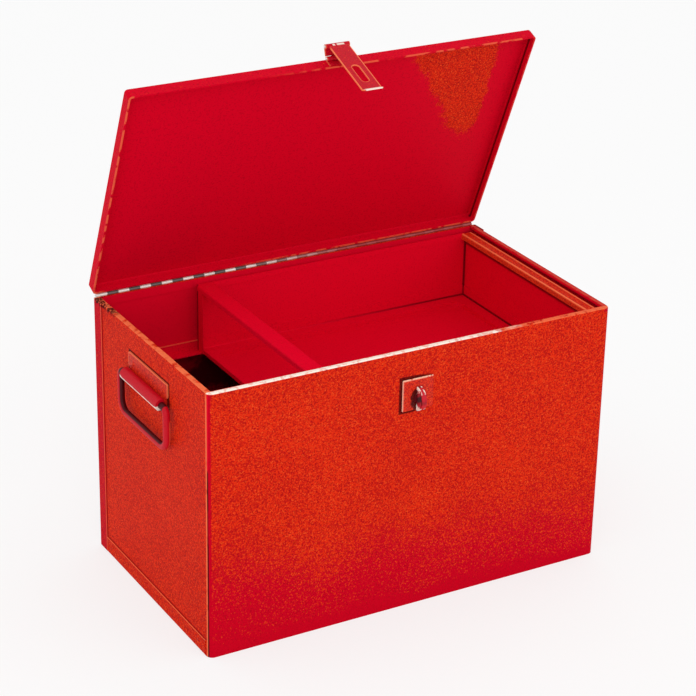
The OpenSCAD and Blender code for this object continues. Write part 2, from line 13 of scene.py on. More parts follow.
import bpy
import numpy as np
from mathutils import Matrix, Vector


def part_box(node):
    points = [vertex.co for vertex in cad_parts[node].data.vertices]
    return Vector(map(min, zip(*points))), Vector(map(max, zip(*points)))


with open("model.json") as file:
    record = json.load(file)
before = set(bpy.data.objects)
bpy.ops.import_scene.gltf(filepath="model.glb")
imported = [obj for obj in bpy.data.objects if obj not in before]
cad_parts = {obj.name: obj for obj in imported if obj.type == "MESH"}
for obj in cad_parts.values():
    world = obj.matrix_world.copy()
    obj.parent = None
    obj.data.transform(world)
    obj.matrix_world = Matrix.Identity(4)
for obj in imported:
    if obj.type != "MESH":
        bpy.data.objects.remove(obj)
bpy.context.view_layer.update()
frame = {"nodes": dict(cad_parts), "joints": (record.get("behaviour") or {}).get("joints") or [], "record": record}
nodes = frame["nodes"]
joints = {j["name"]: j for j in frame["joints"]}

# %% [markdown]
# Wear, painted highlights and painted shade lie at edges and folds, so this lesson needs to know where these are.
# The numbers could be typed in, but here most are worked out from the model itself, so that they follow if the
# chest is made in another size.
# `corner` reads one corner of a node's box. The bottom pan laps over the rest, so its corner gives three at once.

# %% Read the main sizes from the model
X, Y, Z = 0, 1, 2
LOW, HIGH = 0, 1


def corner(node, high):
    """The lowest (high = 0) or highest (high = 1) corner of a node's box, as three plain numbers."""
    return np.array(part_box(node)[high])


SIDE, BACK, SEAM = corner("bottom_pan", HIGH)
FRONT = -BACK
RIM = corner("front_wrap", HIGH)[Z]
HINGE_Y, HINGE_Z = joints["lid_hinge"]["pos_m"][Y:]
OPEN = math.radians(joints["lid_hinge"]["range_deg"][HIGH])
print("chest", round(SIDE * 2, 3), round(BACK * 2, 3), round(RIM, 3), "with side seams", round(SEAM, 3), "wide")
print("the lid stands open by", round(math.degrees(OPEN), 1), "degrees")

# %% [markdown]
# ## The camera
#
# The picture looks down on the chest from the front left with a long lens, so upright lines lean only a little.
# A camera could be aimed by hand, but here its place and its three angles were worked out from the picture's
# corners, because then every later difference is a fault of the model and not of the aim.

# %% Aim the camera
def put(name, data):
    """A new object with this data, linked into the scene."""
    made = bpy.data.objects.new(name, data)
    bpy.context.scene.collection.objects.link(made)
    return made


cam_data = bpy.data.cameras.new("picture_camera")
cam_data.lens = 118.03
cam_data.clip_end = 50
camera = put("picture_camera", cam_data)
camera.location = (-1.4225, -2.4561, 1.5922)
camera.rotation_euler = [math.radians(a) for a in (65.7186, -1.0829, -29.487)]
bpy.context.scene.camera = camera
print("the camera stands", round(camera.location.length, 2), "m from the chest")

# %% [markdown]
# ## Shader maths as plain Python
#
# A procedural material is a small program. It could be wired by hand, but a Math node for each plus sign hides
# what it says. `Value` wraps one socket and gives it the usual operators, so a mask can be written as
# `1 - near * far`. A mask is a number that is 1 where something happens and 0 elsewhere.

# %% A socket that can be added and multiplied
class Value:
    """One output socket of a node tree: a number, a colour or a shader that varies over a surface."""

    def __init__(self, wiring, socket):
        self.wiring, self.socket = wiring, socket

    def maths(self, operation, *others):
        return self.wiring.node("ShaderNodeMath", {"operation": operation}, dict(enumerate((self,) + others)))

    def __add__(self, other): return self.maths("ADD", other)
    def __radd__(self, other): return self.maths("ADD", other)
    def __mul__(self, other): return self.maths("MULTIPLY", other)
    def __rmul__(self, other): return self.maths("MULTIPLY", other)
    def __sub__(self, other): return self.maths("SUBTRACT", other)
    def __rsub__(self, other): return (self * -1) + other
    def __abs__(self): return self.maths("ABSOLUTE")

    def most(self, other): return self.maths("MAXIMUM", other)

    def ramp(self, low, high):
        """0 up to low, 1 from high on, and a smooth rise between; low above high gives a fall."""
        flip = low > high
        if flip:
            low, high = high, low
        rise = self.wiring.node("ShaderNodeMapRange", {"interpolation_type": "SMOOTHSTEP"},
                                {"Value": self, "From Min": low, "From Max": high})
        return 1 - rise if flip else rise

    def near(self, middle, reach):
        """1 at the value middle, and 0 from reach away from it."""
        return abs(self - middle).ramp(reach, 0.0)


def distance(across, up):
    """The length of the slanting line whose two square parts are across and up."""
    return (across * across + up * up).maths("SQRT")


print("a Value knows + - * abs() and", ", ".join(name for name in vars(Value) if name[0] != "_"))

# %% [markdown]
# All nodes come from one method, `node`, which takes the node's kind, its settings and its inputs. Nodes could be
# made where they are needed, but that takes four lines each, and a wrong link is hard to spot among them.

# %% One method that makes every node
class Wiring:
    """A node tree that is being wired."""

    def __init__(self, tree):
        self.tree = tree

    def feed(self, socket, value):
        """Links a Value into an input socket, or sets a plain number or colour on it."""
        if isinstance(value, Value):
            self.tree.links.new(value.socket, socket)
        else:
            socket.default_value = value

    def node(self, kind, settings, inputs, output=0):
        """Makes one node: its settings first, then its input values or links; gives one output back."""
        made = self.tree.nodes.new(kind)
        for key, value in settings.items():
            setattr(made, key, value)
        for key, value in inputs.items():
            self.feed(made.inputs[key], value)
        return Value(self, made.outputs[output])


print("a Wiring knows", ", ".join(name for name in vars(Wiring) if name[0] != "_"))

# %% [markdown]
# `Shop` is the workshop in which one finish is mixed. It knows where a point of the surface lies, both on the chest
# and on the lid as if the lid were shut, because painted highlights, painted shade and wear are easier to place
# there. Plain functions would do as well, but they would all have to hand the same material to each other.

# %% A workshop for one finish
class Shop(Wiring):
    """One material, its nodes, and the place x, y, z of a point on the surface."""

    def __init__(self, name):
        self.material = bpy.data.materials.new(name)
        self.material.use_nodes = True
        super().__init__(self.material.node_tree)
        self.shader = self.tree.nodes["Principled BSDF"]
        self.place = self.node("ShaderNodeTexCoord", {}, {}, "Object")
        split = self.node("ShaderNodeSeparateXYZ", {}, {"Vector": self.place}).socket.node
        self.x, self.y, self.z = (Value(self, socket) for socket in split.outputs)

    def along(self, axis):
        """The place along one axis, which is X, Y or Z."""
        return (self.x, self.y, self.z)[axis]

    def shut(self):
        """The place on the lid as if it were shut: the point turned forward about the hinge pin."""
        dy, dz = self.y - HINGE_Y, self.z - HINGE_Z
        return (self.x, dy * math.cos(OPEN) - dz * math.sin(OPEN) + HINGE_Y,
                dy * math.sin(OPEN) + dz * math.cos(OPEN) + HINGE_Z)

    def number(self, amount):
        """The same number all over the surface."""
        made = self.node("ShaderNodeValue", {}, {})
        made.socket.default_value = amount
        return made

    def noise(self, per_metre, detail=2.0, rough=0.5):
        """Soft random clouds between 0 and 1, with detail steps of smaller clouds on them."""
        return self.node("ShaderNodeTexNoise", {},
                         {"Vector": self.place, "Scale": per_metre, "Detail": detail, "Roughness": rough})

    def mix(self, factor, first, second):
        """Goes from the colour first to the colour second as factor goes from 0 to 1."""
        colour_a, colour_b, colour_out = 6, 7, 2
        return self.node("ShaderNodeMix", {"data_type": "RGBA"},
                         {"Factor": factor, colour_a: first, colour_b: second}, colour_out)

    def bump(self, height, rise, strength, under=None):
        """Bends the light as if the surface rose by that much where height is 1, on top of the bumps under it."""
        inputs = {"Height": height, "Distance": rise, "Strength": strength}
        if under:
            inputs["Normal"] = under
        return self.node("ShaderNodeBump", {}, inputs)

    def finish(self, **sockets):
        """Sends each named value or link into the surface shader, and gives the material back."""
        for name, value in sockets.items():
            self.feed(self.shader.inputs[name.replace("_", " ").title().replace("Ior", "IOR")], value)
        print(self.material.name, "is mixed from", len(self.tree.nodes), "nodes")
        return self.material


print("a Shop also knows", ", ".join(name for name in vars(Shop) if name[0] != "_"))

# %% [markdown]
# ## The colours
#
# The real chest has one kind of paint on it. Here its grains are painted orange where they stand in light and
# crimson where they lie in shade, rose and bare metal serve for rubbed edges and for painted highlights, and soot
# black for scuffs and painted shade. The colours were matched to the picture one area at a time. A screen's numbers
# aren't proportional to light, so `srgb` turns them into numbers that are. Typing them straight into a node would
# make every colour too pale.

# %% Lay out the palette
def srgb(red, green, blue):
    """A colour as seen on a screen, 0 to 255, turned into the linear numbers that light adds up in."""
    seen = np.array([red, green, blue]) / 255
    linear = np.where(seen <= 0.04045, seen / 12.92, ((seen + 0.055) / 1.055) ** 2.4)
    return (*linear.tolist(), 1.0)


# Orange red and light orange are the grains painted as lit and their painted highlights. Crimson, dark crimson and
# the inner and lid crimsons are painted shade, the inner two lighter so that the inside doesn't render too dark.
# Rose, pale rose and bare stand for rubbed edges and for painted highlights, soot for scuffs and painted shade.
LIGHT_ORANGE = srgb(242, 92, 38)
ORANGE_RED = srgb(224, 45, 16)
WARM = srgb(190, 26, 16)
BRICK = srgb(158, 18, 10)
INNER_CRIMSON = srgb(230, 6, 42)
LID_CRIMSON = srgb(215, 3, 36)
CRIMSON = srgb(200, 1, 31)
DARK_CRIMSON = srgb(150, 3, 20)
SHADE_AND_SOOT = srgb(30, 2, 9)
BARE_AND_HIGHLIGHT = srgb(255, 246, 232)
PALE_ROSE = srgb(255, 196, 168)
ROSE = srgb(255, 132, 84)
print("orange red as light:", [round(part, 3) for part in ORANGE_RED[:3]])

# %% [markdown]
# ## The red paint
#
# The chest is sprayed with a textured enamel: the wet film shrinks into grains two to three millimetres across.
# Their tops are painted orange red as lit, with light orange painted highlights, and the pits crimson as painted
# shade. From afar the colour itself looks speckled. A picture of paint could be wrapped round the chest, but grains
# worked out from the place of each point have no seams and the same size on every panel. Where the surface is
# painted as shaded, inside and near the bottom edge, few grains turn orange and it stays crimson.

# %% Mix the enamel
GRAINS_PER_METRE, SKIN_PER_METRE, CLOUDS_PER_METRE = 450, 1400, 11
SHARE_LIFTS, CLOUDS_LIFT = 0.27, 0.12
GRAINS_SHOW_FROM = 0.72


def enamel(name, share, lines=(), grain=1.0, pits=0.7, between_grains=CRIMSON, gloss=0.02, dents=None):
    """Textured enamel. share gives from 0 to 1 how much of the surface's grains are painted orange, as lit.

    The colour between the grains is painted as shade, and pits gives how dark their hollows are. lines is a list of
    (mask, colour): each mask is a function of the shop, and paints its colour over the grains. grain is how rough
    the film feels, gloss how strongly it shines, and dents a mask of pressed marks.
    """
    shop = Shop(name)
    grains = shop.noise(GRAINS_PER_METRE, 3.0, 0.6)
    fine = shop.noise(SKIN_PER_METRE, 1.0)
    clouds = shop.noise(CLOUDS_PER_METRE)
    rises = share(shop)
    height = grains + rises * SHARE_LIFTS + (clouds - 0.5) * CLOUDS_LIFT
    # Grains that rise above GRAINS_SHOW_FROM are painted orange red as lit, and light orange points on them are
    # painted highlights. The rest stays crimson as painted shade.
    risen = (height - GRAINS_SHOW_FROM).ramp(-0.01, 0.06)
    deep = shop.noise(430).ramp(0.47, 0.36) * pits
    glints = shop.noise(500, 1.0).ramp(0.56, 0.66) * risen * 0.6
    film = shop.mix(rises.ramp(0.6, 1.05), between_grains, WARM)
    low_skin = shop.mix(deep * (0.35 + rises * 0.65), film, DARK_CRIMSON)
    high_skin = shop.mix(deep, ORANGE_RED, BRICK)
    skin = shop.mix(glints, shop.mix(risen, low_skin, high_skin), LIGHT_ORANGE)
    for mask, colour in lines:
        skin = shop.mix(mask(shop), skin, colour)
    lumps = shop.bump(grains, 0.0005, 0.35 * grain)
    if dents:
        lumps = shop.bump(1 - dents(shop), 0.0008, 0.9, lumps)
    return shop.finish(base_color=skin, specular_ior_level=gloss, roughness=0.44 + fine * 0.12,
                       normal=shop.bump(fine, 0.0002, 0.2 * grain, lumps))


print("one grain every", round(1000 / GRAINS_PER_METRE, 1), "mm")

# %% [markdown]
# ## Where the body's paint changes
#
# The outer faces are painted as lit, with orange grains, and the inside as shaded, in crimson. Towards the bottom
# and beside the bent corners the outside is painted darker too, as shade. Two materials could be split at the rim,
# but the front, both ends and their inner faces are one bent sheet here and one node. So one material asks where
# the point lies. Most limits are drawn inside the thickness of the sheet, where nothing is seen. Only the front
# wall's inner face, which the picture can't show, keeps the outer paint.

# %% Tell inside from outside
INNER_SHARE = 0.12


def body_inside(shop):
    """1 within the end walls and the back, from 3.5 mm behind the front, and under the rim's top face."""
    mid_end, mid_back = SIDE - 0.0019, BACK - 0.0006
    in_x = abs(shop.x).ramp(mid_end, mid_end - 0.0003)
    in_y = shop.y.ramp(mid_back, mid_back - 0.0003) * shop.y.ramp(FRONT + 0.0033, FRONT + 0.0036)
    return in_x * in_y * shop.z.ramp(RIM - 0.0004, RIM - 0.0008)


def body_share(shop):
    """Lit orange grains outside; fewer, as painted shade, near the bottom and the bent corners; almost none inside.
    """
    ragged = (shop.noise(10) - 0.5) * 0.07
    foot = (shop.z + ragged * 0.3).ramp(0.002, 0.028)
    leaning = (shop.z + ragged + shop.x * 0.06).ramp(-0.01, 0.2)
    on_front = shop.y.ramp(FRONT + 0.0065, FRONT + 0.0035)
    front = 1 - on_front * (1 - (foot * 0.5 + leaning * 0.5))
    bends = abs(shop.x).ramp(SIDE - 0.0065, SIDE - 0.0045) * on_front
    back_strip = shop.y.ramp(BACK - SEAM - 0.001, BACK - SEAM) * abs(shop.x).ramp(SIDE - 0.002, SIDE - 0.001)
    right_rim = shop.x.ramp(SIDE - 0.012, SIDE - 0.010) * shop.z.ramp(RIM - 0.006, RIM - 0.004)
    outside = front * (1 - bends * 0.75) * (1 - back_strip * 0.45) * (1 - right_rim)
    inside = body_inside(shop)
    return outside * (1 - inside) + inside * INNER_SHARE


print("inside, grains rise with a share of", INNER_SHARE)

# %% [markdown]
# The inner faces are painted crimson, as shade, but a brighter crimson than the paint outside, so that they don't
# render too dark. Below the tray they are painted nearly black, as shade. The lamps alone could make that shade,
# but white paper all round sends light into every corner of a chest this open, so part of the dark is paint.

# %% Colour the inside
RAIL_FOOT = corner("front_rail", LOW)[Z]


def inside_crimson(shop):
    """The brighter crimson painted inside as shade, as a line over everything that lies there, less its own pits."""
    return body_inside(shop) * (1 - shop.noise(470).ramp(0.45, 0.33) * 0.25) * 0.9


def shade_below_tray(shop):
    """Painted shade: 1 below the tray, a little less in soft patches."""
    below = shop.z.ramp(RAIL_FOOT + 0.002, RAIL_FOOT - 0.006)
    return body_inside(shop) * below * (0.93 - shop.noise(22, 3.0, 0.6).ramp(0.5, 0.66) * 0.3)


print("the dark inside begins", round(RAIL_FOOT, 3), "m above the floor")

# %% [markdown]
# The front rim's bend gets a painted highlight, white in dashes on the left and rose further right, the left and
# right rims' tops a rose one, and the right rim's outer bend painted shade. The lid comes down on the rim again and
# again and scuffs the left rim beside the hinge. Edges could be found by a node that measures how sharp an edge is,
# but that one marks all edges alike, and here it matters which edge is marked.

# %% Paint the rims' highlights and shade, and scuff them
def front_bend(shop):
    """1 on the front rim's outer bend."""
    return shop.z.ramp(RIM - 0.0014, RIM - 0.0008) * shop.y.ramp(FRONT + 0.0075, FRONT + 0.0065)


def bright_rim(shop):
    """A white painted highlight on that bend on the left, in close dashes."""
    dashes = 0.55 + shop.noise(170, 1.0).ramp(0.36, 0.5) * 0.45
    left = (shop.x + (shop.noise(70) - 0.5) * 0.2).ramp(0.16, 0.07)
    return front_bend(shop) * dashes * left


def front_rim(shop):
    """A rose painted highlight on the same bend all along."""
    return front_bend(shop) * shop.noise(120, 1.0).ramp(0.3, 0.5) * 0.6


def side_rim(shop):
    """A rose painted highlight on the left and right rims' top faces and the bends beside them, strongest on the
    left.
    """
    top = shop.z.ramp(RIM - 0.0012, RIM - 0.0006) * abs(shop.x).ramp(SIDE - 0.0105, SIDE - 0.0095)
    return top * shop.noise(90).ramp(0.3, 0.5) * (0.2 + shop.x.ramp(0.2, 0.1) * 0.55)


def right_rim_shade(shop):
    """Painted shade on the right rim's outer bend."""
    return shop.x.ramp(SIDE - 0.0045, SIDE - 0.0025) * shop.z.ramp(RIM - 0.0060, RIM - 0.0040) * 0.7


def scuffs(shop):
    """Black scuffs on the left rim beside the hinge, where the lid's corner rubs."""
    place = shop.x.ramp(-SIDE + 0.014, -SIDE + 0.010) * shop.y.ramp(BACK - 0.075, BACK - 0.05)
    return place * shop.z.ramp(RIM - 0.006, RIM - 0.003) * shop.noise(170, 3.0, 0.7).ramp(0.45, 0.52) * 0.9


print("the rim's wear lies", round(RIM, 3), "m above the floor")

# %% [markdown]
# The back panel and the bottom pan lap over the ends with strips that have cut edges. Paint draws back from a cut
# edge and leaves it light, painted shade lies just outside it, and a painted highlight runs down each bent corner.
# Strips of geometry would change the CAD shape, so these lines are masks drawn where the edges are.

# %% Draw the corner lines and the seams' edges
BACK_EDGE = BACK - SEAM


def corner_line(shop):
    """A painted highlight down each bent corner, part of the way round the bend."""
    on_bend = abs(shop.x).ramp(SIDE - 0.0050, SIDE - 0.0040)
    return shop.y.near(FRONT + 0.0062, 0.0019) * on_bend * shop.noise(60).ramp(0.2, 0.5) * 0.8


def seam_edges(shop):
    """The cut edges of the side seams: a line along the bottom strip and one up the back strip."""
    beside = abs(shop.x).ramp(SIDE - 0.0008, SIDE - 0.0004)
    bottom = shop.z.near(SEAM - 0.0005, 0.0012) * shop.y.ramp(BACK_EDGE, BACK_EDGE - 0.001)
    back = shop.y.near(BACK_EDGE + 0.0006, 0.0011)
    return beside * bottom.most(back) * 0.7


def on_ends(shop):
    """1 from the middle of the end walls' sheet outwards."""
    return abs(shop.x).ramp(SIDE - 0.0022, SIDE - 0.0018)


def seam_shade(shop):
    """Painted shade just outside those edges, on the sheet that they lap over."""
    under_seam = abs(shop.x).ramp(SIDE - 0.0008, SIDE - 0.0012)
    bottom = shop.z.near(SEAM + 0.001, 0.0022)
    back = shop.y.near(BACK_EDGE - 0.001, 0.0022)
    return under_seam * on_ends(shop) * bottom.most(back) * 0.85


print("the back strip's edge stands at y =", round(BACK_EDGE, 4))

# %% [markdown]
# Round each riveted plate a dark outline is painted as shade. A shader can darken corners by itself, but that
# costs many rays and darkens all of them alike. These plates lie square to the axes, so the distance past a plate's
# outline follows from its box.

# %% Paint shade round the plates
def middle_and_half(node, axis):
    """The middle of a node's box along one axis, and half its length."""
    low, high = corner(node, LOW)[axis], corner(node, HIGH)[axis]
    return (low + high) / 2, (high - low) / 2


def past_plate(shop, node, axis):
    """How far a point lies past the outline of an upright plate that is centred on the chest along axis."""
    middle, half = middle_and_half(node, Z)
    return (abs(shop.along(axis)) - corner(node, HIGH)[axis]).most(abs(shop.z - middle) - half)


def beside_plates(shop):
    """Painted shade all round the handle plates, and round the lock plate, where it is wider on the left."""
    wider_left = shop.x.ramp(0.01, -0.01) * 0.0014
    on_front = shop.y.ramp(FRONT + 0.0033, FRONT + 0.0027)
    fades_right = shop.x.ramp(corner("lock_plate", HIGH)[X] + 0.002, 0.004)
    round_lock = (past_plate(shop, "lock_plate", X) - wider_left).ramp(0.0030, 0.0018) * on_front * fades_right
    round_handle = past_plate(shop, "left_handle_plate", Y).ramp(0.0034, 0.0020) * on_ends(shop)
    return round_lock.most(round_handle) * 0.8


print("the lock plate is", round(middle_and_half("lock_plate", Z)[1] * 2, 4), "m high")

# %% [markdown]
# The seams are spot welded: two copper tips squeeze the sheets and leave shallow round marks, which the paint
# covers. Cutting them into the mesh would change the CAD shape, so they only bend the light. A wave that runs to
# and fro along the seam gives the row its even pitch.

# %% Press the spot welds
WELD_PITCH = 0.055


def weld_row(along, across):
    """Round marks about 6 mm across, one every WELD_PITCH, in a row where across is 0."""
    step = along.maths("PINGPONG", WELD_PITCH) - WELD_PITCH / 2
    return distance(step, across).ramp(0.0034, 0.0020)


def seam_welds(shop):
    """The spot welds that hold the back panel's and the pan's side seams to the ends."""
    beside = abs(shop.x).ramp(SIDE - 0.002, SIDE - 0.001)
    back = weld_row(shop.z, shop.y - (BACK - SEAM / 2))
    bottom = weld_row(shop.y, shop.z - SEAM / 2)
    return beside * back.most(bottom)


print("spot welds along a side's bottom seam: about", round(BACK * 2 / WELD_PITCH))

# %% [markdown]
# Now the body's paint is mixed. Masks are laid on like coats, so a later line covers an earlier one: first the
# inside and its painted shade, then painted shade round the plates and seams, then the light cut edges and the
# painted highlights and shade of corners and rims, and the white painted highlight and the scuffs last.

# %% Mix the body's paint
body_paint = enamel("body_enamel", body_share, [
    (inside_crimson, INNER_CRIMSON), (shade_below_tray, SHADE_AND_SOOT),
    (beside_plates, SHADE_AND_SOOT), (seam_shade, DARK_CRIMSON), (seam_edges, ROSE), (corner_line, ROSE), (side_rim, ROSE),
    (right_rim_shade, DARK_CRIMSON), (front_rim, ROSE), (bright_rim, BARE_AND_HIGHLIGHT), (scuffs, SHADE_AND_SOOT)], dents=seam_welds)

# %% [markdown]
# ## The lid's paint
#
# The lid's panel has orange grains outside and smooth crimson inside, but one corner of the inner face is painted
# speckled orange, as a painted highlight. The lid stands open, and its faces could be told apart by their
# direction. A distance along it is easier to name once it is turned shut again in the maths: then its front is at
# the low Y end and its inner face looks down.

# %% Tell the lid's inside from its outside
def lid_inside(shop):
    """1 on the lid's inner faces: within the skirt and under the panel."""
    x, y, z = shop.shut()
    within = abs(x).ramp(SIDE - 0.0006, SIDE - 0.0009) * abs(y).ramp(BACK - 0.0006, BACK - 0.0009)
    return within * z.ramp(HINGE_Z + 0.0166, HINGE_Z + 0.0163)


def lid_share(shop):
    """Grains outside, and inside a speckled painted highlight on a triangle at the right front corner, cut off along
    a slanting line.
    """
    x, y, z = shop.shut()
    ragged = (shop.noise(45, 4.0, 0.65) - 0.5) * 0.05
    slant = (x - y * 0.66 + ragged).ramp(0.210, 0.236)
    front = (y + ragged).ramp(0.024, -0.012)
    off_skirt = (x + ragged * 0.5).ramp(SIDE - 0.036, SIDE - 0.048)
    on_panel = z.ramp(HINGE_Z + 0.013, HINGE_Z + 0.0155)
    inner = 0.1 + slant * front * off_skirt * on_panel * 0.9
    skirt = z.ramp(HINGE_Z + 0.0160, HINGE_Z + 0.0150)
    inside = lid_inside(shop)
    return inside * inner + (1 - inside) * (0.75 - skirt * 0.4)


print("the lid turns about y, z =", round(HINGE_Y, 4), round(HINGE_Z, 4))

# %% [markdown]
# The lid's skirt ends in a folded hem. Its edge gets a painted highlight in dashes, and the recess behind it a black
# painted shadow. Both could be modelled as narrow strips, but they have no thickness of their own.

# %% Paint the hem's highlight and shadow, and mix the lid's paint
def hem_edge(shop):
    """A painted highlight on the hem's lower edge, in dashes on the front's right half and at the left end."""
    x, y, z = shop.shut()
    rim = z.ramp(HINGE_Z + 0.0015, HINGE_Z + 0.0008)
    right = x.ramp(-0.12, 0.02) * (0.25 + x.ramp(SIDE - 0.004, SIDE - 0.010) * 0.75)
    left = x.ramp(-0.285, -0.295)
    return rim * shop.noise(75).ramp(0.42, 0.52) * right.most(left) * 0.45


def hem_shadow(shop):
    """Black painted shadow in the recess behind the hem, on the right."""
    x, y, z = shop.shut()
    recess = z.ramp(HINGE_Z + 0.0070, HINGE_Z + 0.0090) * z.ramp(HINGE_Z + 0.0145, HINGE_Z + 0.0115)
    return lid_inside(shop) * x.ramp(SIDE - 0.0045, SIDE - 0.0030) * recess * 0.8


lid_paint = enamel("lid_enamel", lid_share, [(hem_shadow, SHADE_AND_SOOT), (hem_edge, ROSE)], grain=0.8, between_grains=LID_CRIMSON)

# %% [markdown]
# ## The lock plate
#
# Hasp, lock plate and handles got the same red before they were riveted on, so they reuse the enamel with the
# same share of grains all over. The lock plate's top and left edges get a pale painted highlight, and its edges next
# to the chest and the plate round the turning staple a black painted shadow. A painted picture could show this, but
# masks measured from the plate's box stay in place when the plate grows.

# %% Mix the lock plate's paint
PLATE_LEFT = corner("lock_plate", LOW)[X]
PLATE_BACK, PLATE_TOP = corner("lock_plate", HIGH)[Y:]
EYE_Z = joints["staple_turn"]["pos_m"][Z]


def even(amount):
    """The same share of grains all over."""
    return lambda shop: shop.number(amount)


def lock_top_left(shop):
    """A pale painted highlight on the plate's top and left edges."""
    top = shop.z.ramp(PLATE_TOP - 0.0022, PLATE_TOP - 0.0012)
    left = shop.x.ramp(PLATE_LEFT + 0.0020, PLATE_LEFT + 0.0011)
    return top.most(left * 0.7) * shop.noise(220, 1.0).ramp(0.25, 0.4) * 0.95


def plate_foot(shop):
    """Painted shadow on the plate's edges, next to the chest."""
    return shop.y.ramp(PLATE_BACK - 0.0016, PLATE_BACK - 0.0011)


def staple_shadow(shop):
    """Painted shadow of the staple round its collar, most of it below and to the left."""
    across, up = shop.x + 0.0025, shop.z - EYE_Z + 0.002
    away = distance(across, up * math.sqrt(0.35))
    return (away + (shop.noise(160) - 0.5) * 0.006).ramp(0.0098, 0.0080) * 0.85


lock_paint = enamel("lock_enamel", even(1.0), [
    (lock_top_left, PALE_ROSE), (plate_foot, SHADE_AND_SOOT), (staple_shadow, SHADE_AND_SOOT)], grain=0.6, gloss=0.15)

# %% [markdown]
# The staple is a steel disc with an eye for the padlock's bow. Its rim gets white painted highlights in patches,
# and the eye and its foot black painted shade. The eye is a hole that the model names, so its middle can be looked
# up.
# Searching the mesh for a hole would work too, but it is slow and easily finds the wrong one.

# %% Mix the staple's paint
def opening(name):
    """The lowest and highest corner of one opening that the model names."""
    box = next(o for o in frame["record"]["physics"]["openings"] if o["name"] == name)["box_m"]
    return np.array(box)


EYE_Y = opening("staple_eye")[:, Y].mean()


def from_eye(shop):
    """How far a point lies from the middle line of the staple's eye, which runs from left to right."""
    return distance(shop.y - EYE_Y, shop.z - EYE_Z)


def staple_foot(shop):
    """Painted shade on the staple next to the plate."""
    return shop.y.ramp(PLATE_BACK - 0.0085, PLATE_BACK - 0.0060) * 0.8


def staple_highlight(shop):
    """White painted highlights in patches round the staple's outer rim."""
    rim = from_eye(shop).ramp(0.0098, 0.0118) * abs(shop.x).ramp(0.0012, 0.0026)
    return rim * shop.noise(150).ramp(0.42, 0.54) * 0.95


def eye_shade(shop):
    """Painted shade inside the eye and in a ring round its mouth, thicker below."""
    return (from_eye(shop) + (shop.z - EYE_Z) * 0.12).ramp(0.0076, 0.0058) * 0.88


staple_paint = enamel("staple_enamel", even(0.25), [
    (staple_foot, SHADE_AND_SOOT), (staple_highlight, BARE_AND_HIGHLIGHT), (eye_shade, SHADE_AND_SOOT)], grain=0.3, gloss=0.3)
print("the staple's eye is at y, z =", round(EYE_Y, 4), round(EYE_Z, 4))

# %% [markdown]
# ## The strap and the link
#
# The strap hangs at a slant, so a node's box doesn't follow its edges. It could be turned upright like the lid,
# but one length along it is enough: `down_strap` runs from its upper pin through its slot to its tip. The slot is
# a rectangle with round ends, and the distance from its outline is the distance from a short middle line, less the
# radius of its ends.

# %% Find the strap's own length
PIN = np.array(joints["hasp_strap_hinge"]["pos_m"][Y:])
SLOT = opening("hasp_slot").mean(axis=0)[Y:] - PIN
SLOT_AT = float(np.hypot(*SLOT))
ALONG = SLOT / SLOT_AT
STRAP_HALF = corner("hasp_strap", HIGH)[X]


def down_strap(shop):
    """How far down the strap a point lies from its upper pin."""
    return (shop.y - PIN[0]) * ALONG[0] + (shop.z - PIN[1]) * ALONG[1]


print("strap slot", round(SLOT_AT, 4), "m from its pin, direction", ALONG.round(3))

# %% [markdown]
# The slot's edge and the strap's long sides get a rose painted highlight, and the turned-out tip and a spot and a
# dash below the upper knuckles a white one. Each is a line or spot of its own, because one general edge mask would
# mark them all by the same amount.

# %% Mix the strap's paint
SLOT_LINE, SLOT_ROUND = 0.0125, 0.0055
TIP_AT = SLOT_AT + 0.0312


def strap_edges(shop):
    """A painted highlight on the strap's long sides and its slot's edge: half the slot's middle line is SLOT_LINE
    long.
    """
    along = down_strap(shop)
    past = (abs(along - SLOT_AT) - SLOT_LINE).most(0.0)
    from_slot = distance(past, shop.x) - SLOT_ROUND
    sides = abs(shop.x).ramp(STRAP_HALF - 0.0016, STRAP_HALF - 0.0008)
    return sides.most(from_slot.near(0.0, 0.0014)) * along.ramp(0.004, 0.012) * 0.85


def strap_tip(shop):
    """A white painted highlight on the turned-out tip."""
    tip = down_strap(shop).ramp(TIP_AT, TIP_AT + 0.0013)
    return tip * abs(shop.x).ramp(STRAP_HALF - 0.001, STRAP_HALF - 0.003) * 0.85


def knuckle_highlight(shop):
    """A white painted highlight in a spot and a dash just below the upper knuckles, where the strap bends from its
    pin.
    """
    spot, dash = abs(shop.x + 0.0066).ramp(0.0022, 0.0012), abs(shop.x - 0.0038).ramp(0.0064, 0.0052)
    return down_strap(shop).near(0.0022, 0.0030) * spot.most(dash) * 0.9


strap_paint = enamel("strap_enamel", even(0.45), [
    (strap_edges, ROSE), (strap_tip, BARE_AND_HIGHLIGHT), (knuckle_highlight, BARE_AND_HIGHLIGHT)], grain=0.4, gloss=0.15)

# %% [markdown]
# The link joins the strap to the leaf on the lid, and wears only along its two sides. These lie square across X in
# every pose, so its box gives them. `border` makes such a mask for any node, as the handle plates need one too.

# %% Mix the link's paint
def border(node, axis, reach, amount):
    """A mask along the two sides of a node's box that lie across an axis, as far in as reach."""
    middle, half = middle_and_half(node, axis)
    return lambda shop: abs(shop.along(axis) - middle).ramp(half - reach, half - reach * 0.5) * amount


link_paint = enamel("link_enamel", even(0.15), [(border("hasp_link", X, 0.0012, 0.5), ROSE)], grain=0.4, gloss=0.15)

# %% [markdown]
# ## The handles
#
# A drop handle is a bail of bent rod that swings in a barrel on a riveted plate. The plate's rim is rubbed light,
# and the lower edge of the barrel is worn bare by the rod and carries a painted highlight. Smooth crimson painted as
# shade on the barrel and lit grains on the flat plate could be two materials, but plate and barrel are one node, so
# the share of grains changes with the distance from the chest's end.

